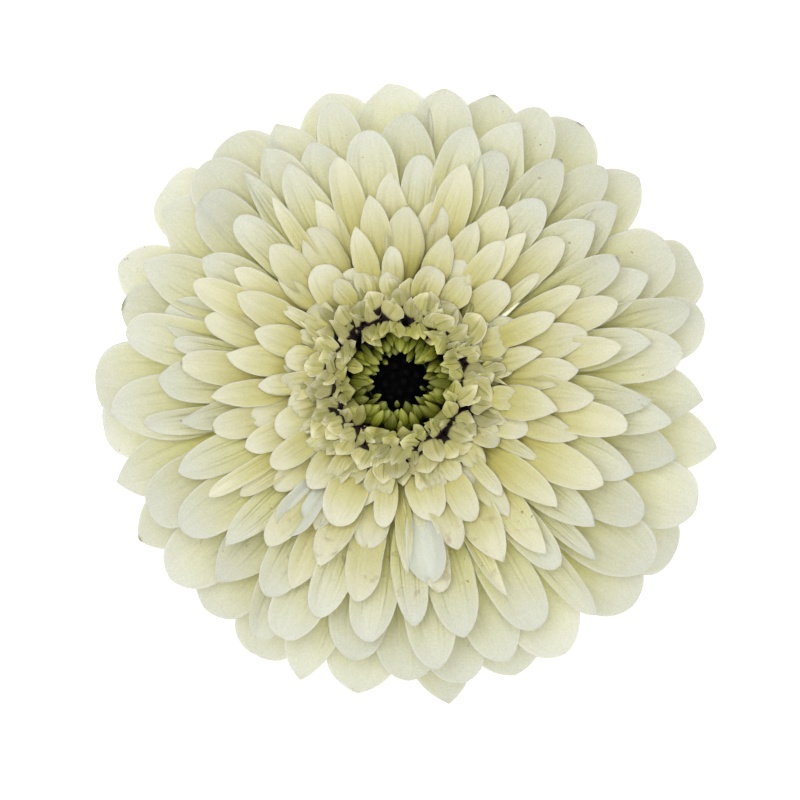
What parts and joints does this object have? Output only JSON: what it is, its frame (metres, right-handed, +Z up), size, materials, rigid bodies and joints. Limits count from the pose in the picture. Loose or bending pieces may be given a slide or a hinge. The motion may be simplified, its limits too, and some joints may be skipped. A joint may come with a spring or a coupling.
{
  "type": "gerbera bloom",
  "caption": "Fully double gerbera bloom picked with a short stub of stem, lying face up: rings of cream-white petals round short curled lobes, green buds and a dark eye.",
  "frame": {"origin": "on the surface that the bloom lies on, below the middle of its outline from above", "axes": "+Z up, out of the bloom's face; +Y towards the top of the picture, +X towards its right"},
  "size_m": [0.12, 0.12, 0.0313],
  "materials": {
    "outer_petal": "velvety matt, white with a grey cast",
    "inner_petal": "velvety matt, cream",
    "lobe": "velvety matt, cream yellow, green along the middle",
    "bud": "smooth, slightly waxy, yellow green",
    "eye": "matt, near black purple",
    "bract": "finely hairy, matt green",
    "stem": "finely hairy, matt pale green, cut across at its end"
  },
  "bodies": {
    "root": {"stem_stub": "stem", "receptacle_and_bracts": "bract", "ray_florets_1": "outer_petal", "ray_florets_2": "outer_petal", "ray_florets_3": "outer_petal", "ray_florets_4": "inner_petal", "ray_florets_5": "inner_petal", "ray_florets_6": "inner_petal", "trans_florets": "lobe", "disc_florets": "bud", "eye_florets": "eye"}
  },
  "joints": []
}
